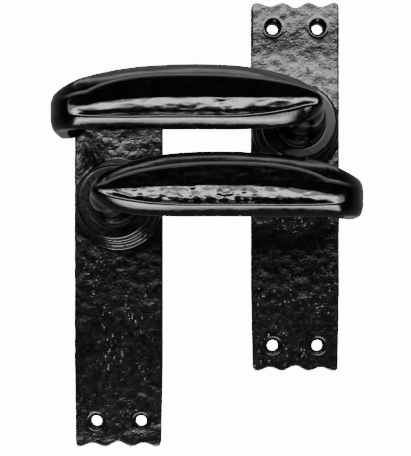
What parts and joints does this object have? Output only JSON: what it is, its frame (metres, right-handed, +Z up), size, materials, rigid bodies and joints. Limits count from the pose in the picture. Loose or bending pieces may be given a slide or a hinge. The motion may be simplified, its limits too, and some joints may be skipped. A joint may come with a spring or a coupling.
{
  "type": "lever handle pair on backplates",
  "caption": "Handed pair of cast-iron lever handles on long wavy-ended backplates, sprung to return, with a square spindle for one side of a door.",
  "frame": {"origin": "the left lever's axis, on the door face that both backplates lie on", "axes": "+Z up the plates, -Y out of the door towards the hand, +X along the left lever"},
  "size_m": [0.1357, 0.1235, 0.2158],
  "materials": {
    "black_iron": "gloss black lacquer over rough casting",
    "nylon": "black nylon",
    "zinc_steel": "bright zinc plate",
    "spring_steel": "oiled spring steel"
  },
  "bodies": {
    "plates": {"backplate_left": "black_iron", "neck_bush_left": "nylon", "thrust_washer_left": "nylon", "stop_pin_left": "zinc_steel", "return_spring_left": "spring_steel", "backplate_right": "black_iron", "neck_bush_right": "nylon", "thrust_washer_right": "nylon", "stop_pin_right": "zinc_steel", "return_spring_right": "spring_steel"},
    "left_lever": {"lever_left": "black_iron", "drive_plate_left": "zinc_steel", "shim_washer_left": "zinc_steel", "retaining_ring_left": "spring_steel", "grub_screw_left": "spring_steel", "spindle": "zinc_steel"},
    "right_lever": {"lever_right": "black_iron", "drive_plate_right": "zinc_steel", "shim_washer_right": "zinc_steel", "retaining_ring_right": "spring_steel", "grub_screw_right": "spring_steel"}
  },
  "joints": [
    {"name": "left_lever_turn", "type": "hinge", "parent": "plates", "child": "left_lever", "pos_m": [0, 0, 0], "axis": [0, 1, 0], "range_deg": [-5, 35], "stiffness_Nm_per_rad": 1.2, "springref_deg": -6.3, "deforming": ["return_spring_left"]},
    {"name": "right_lever_turn", "type": "hinge", "parent": "plates", "child": "right_lever", "pos_m": [0.0859, 0, 0.0368], "axis": [0, -1, 0], "range_deg": [-35, 5], "stiffness_Nm_per_rad": 1.2, "springref_deg": -6.3, "deforming": ["return_spring_right"]}
  ]
}
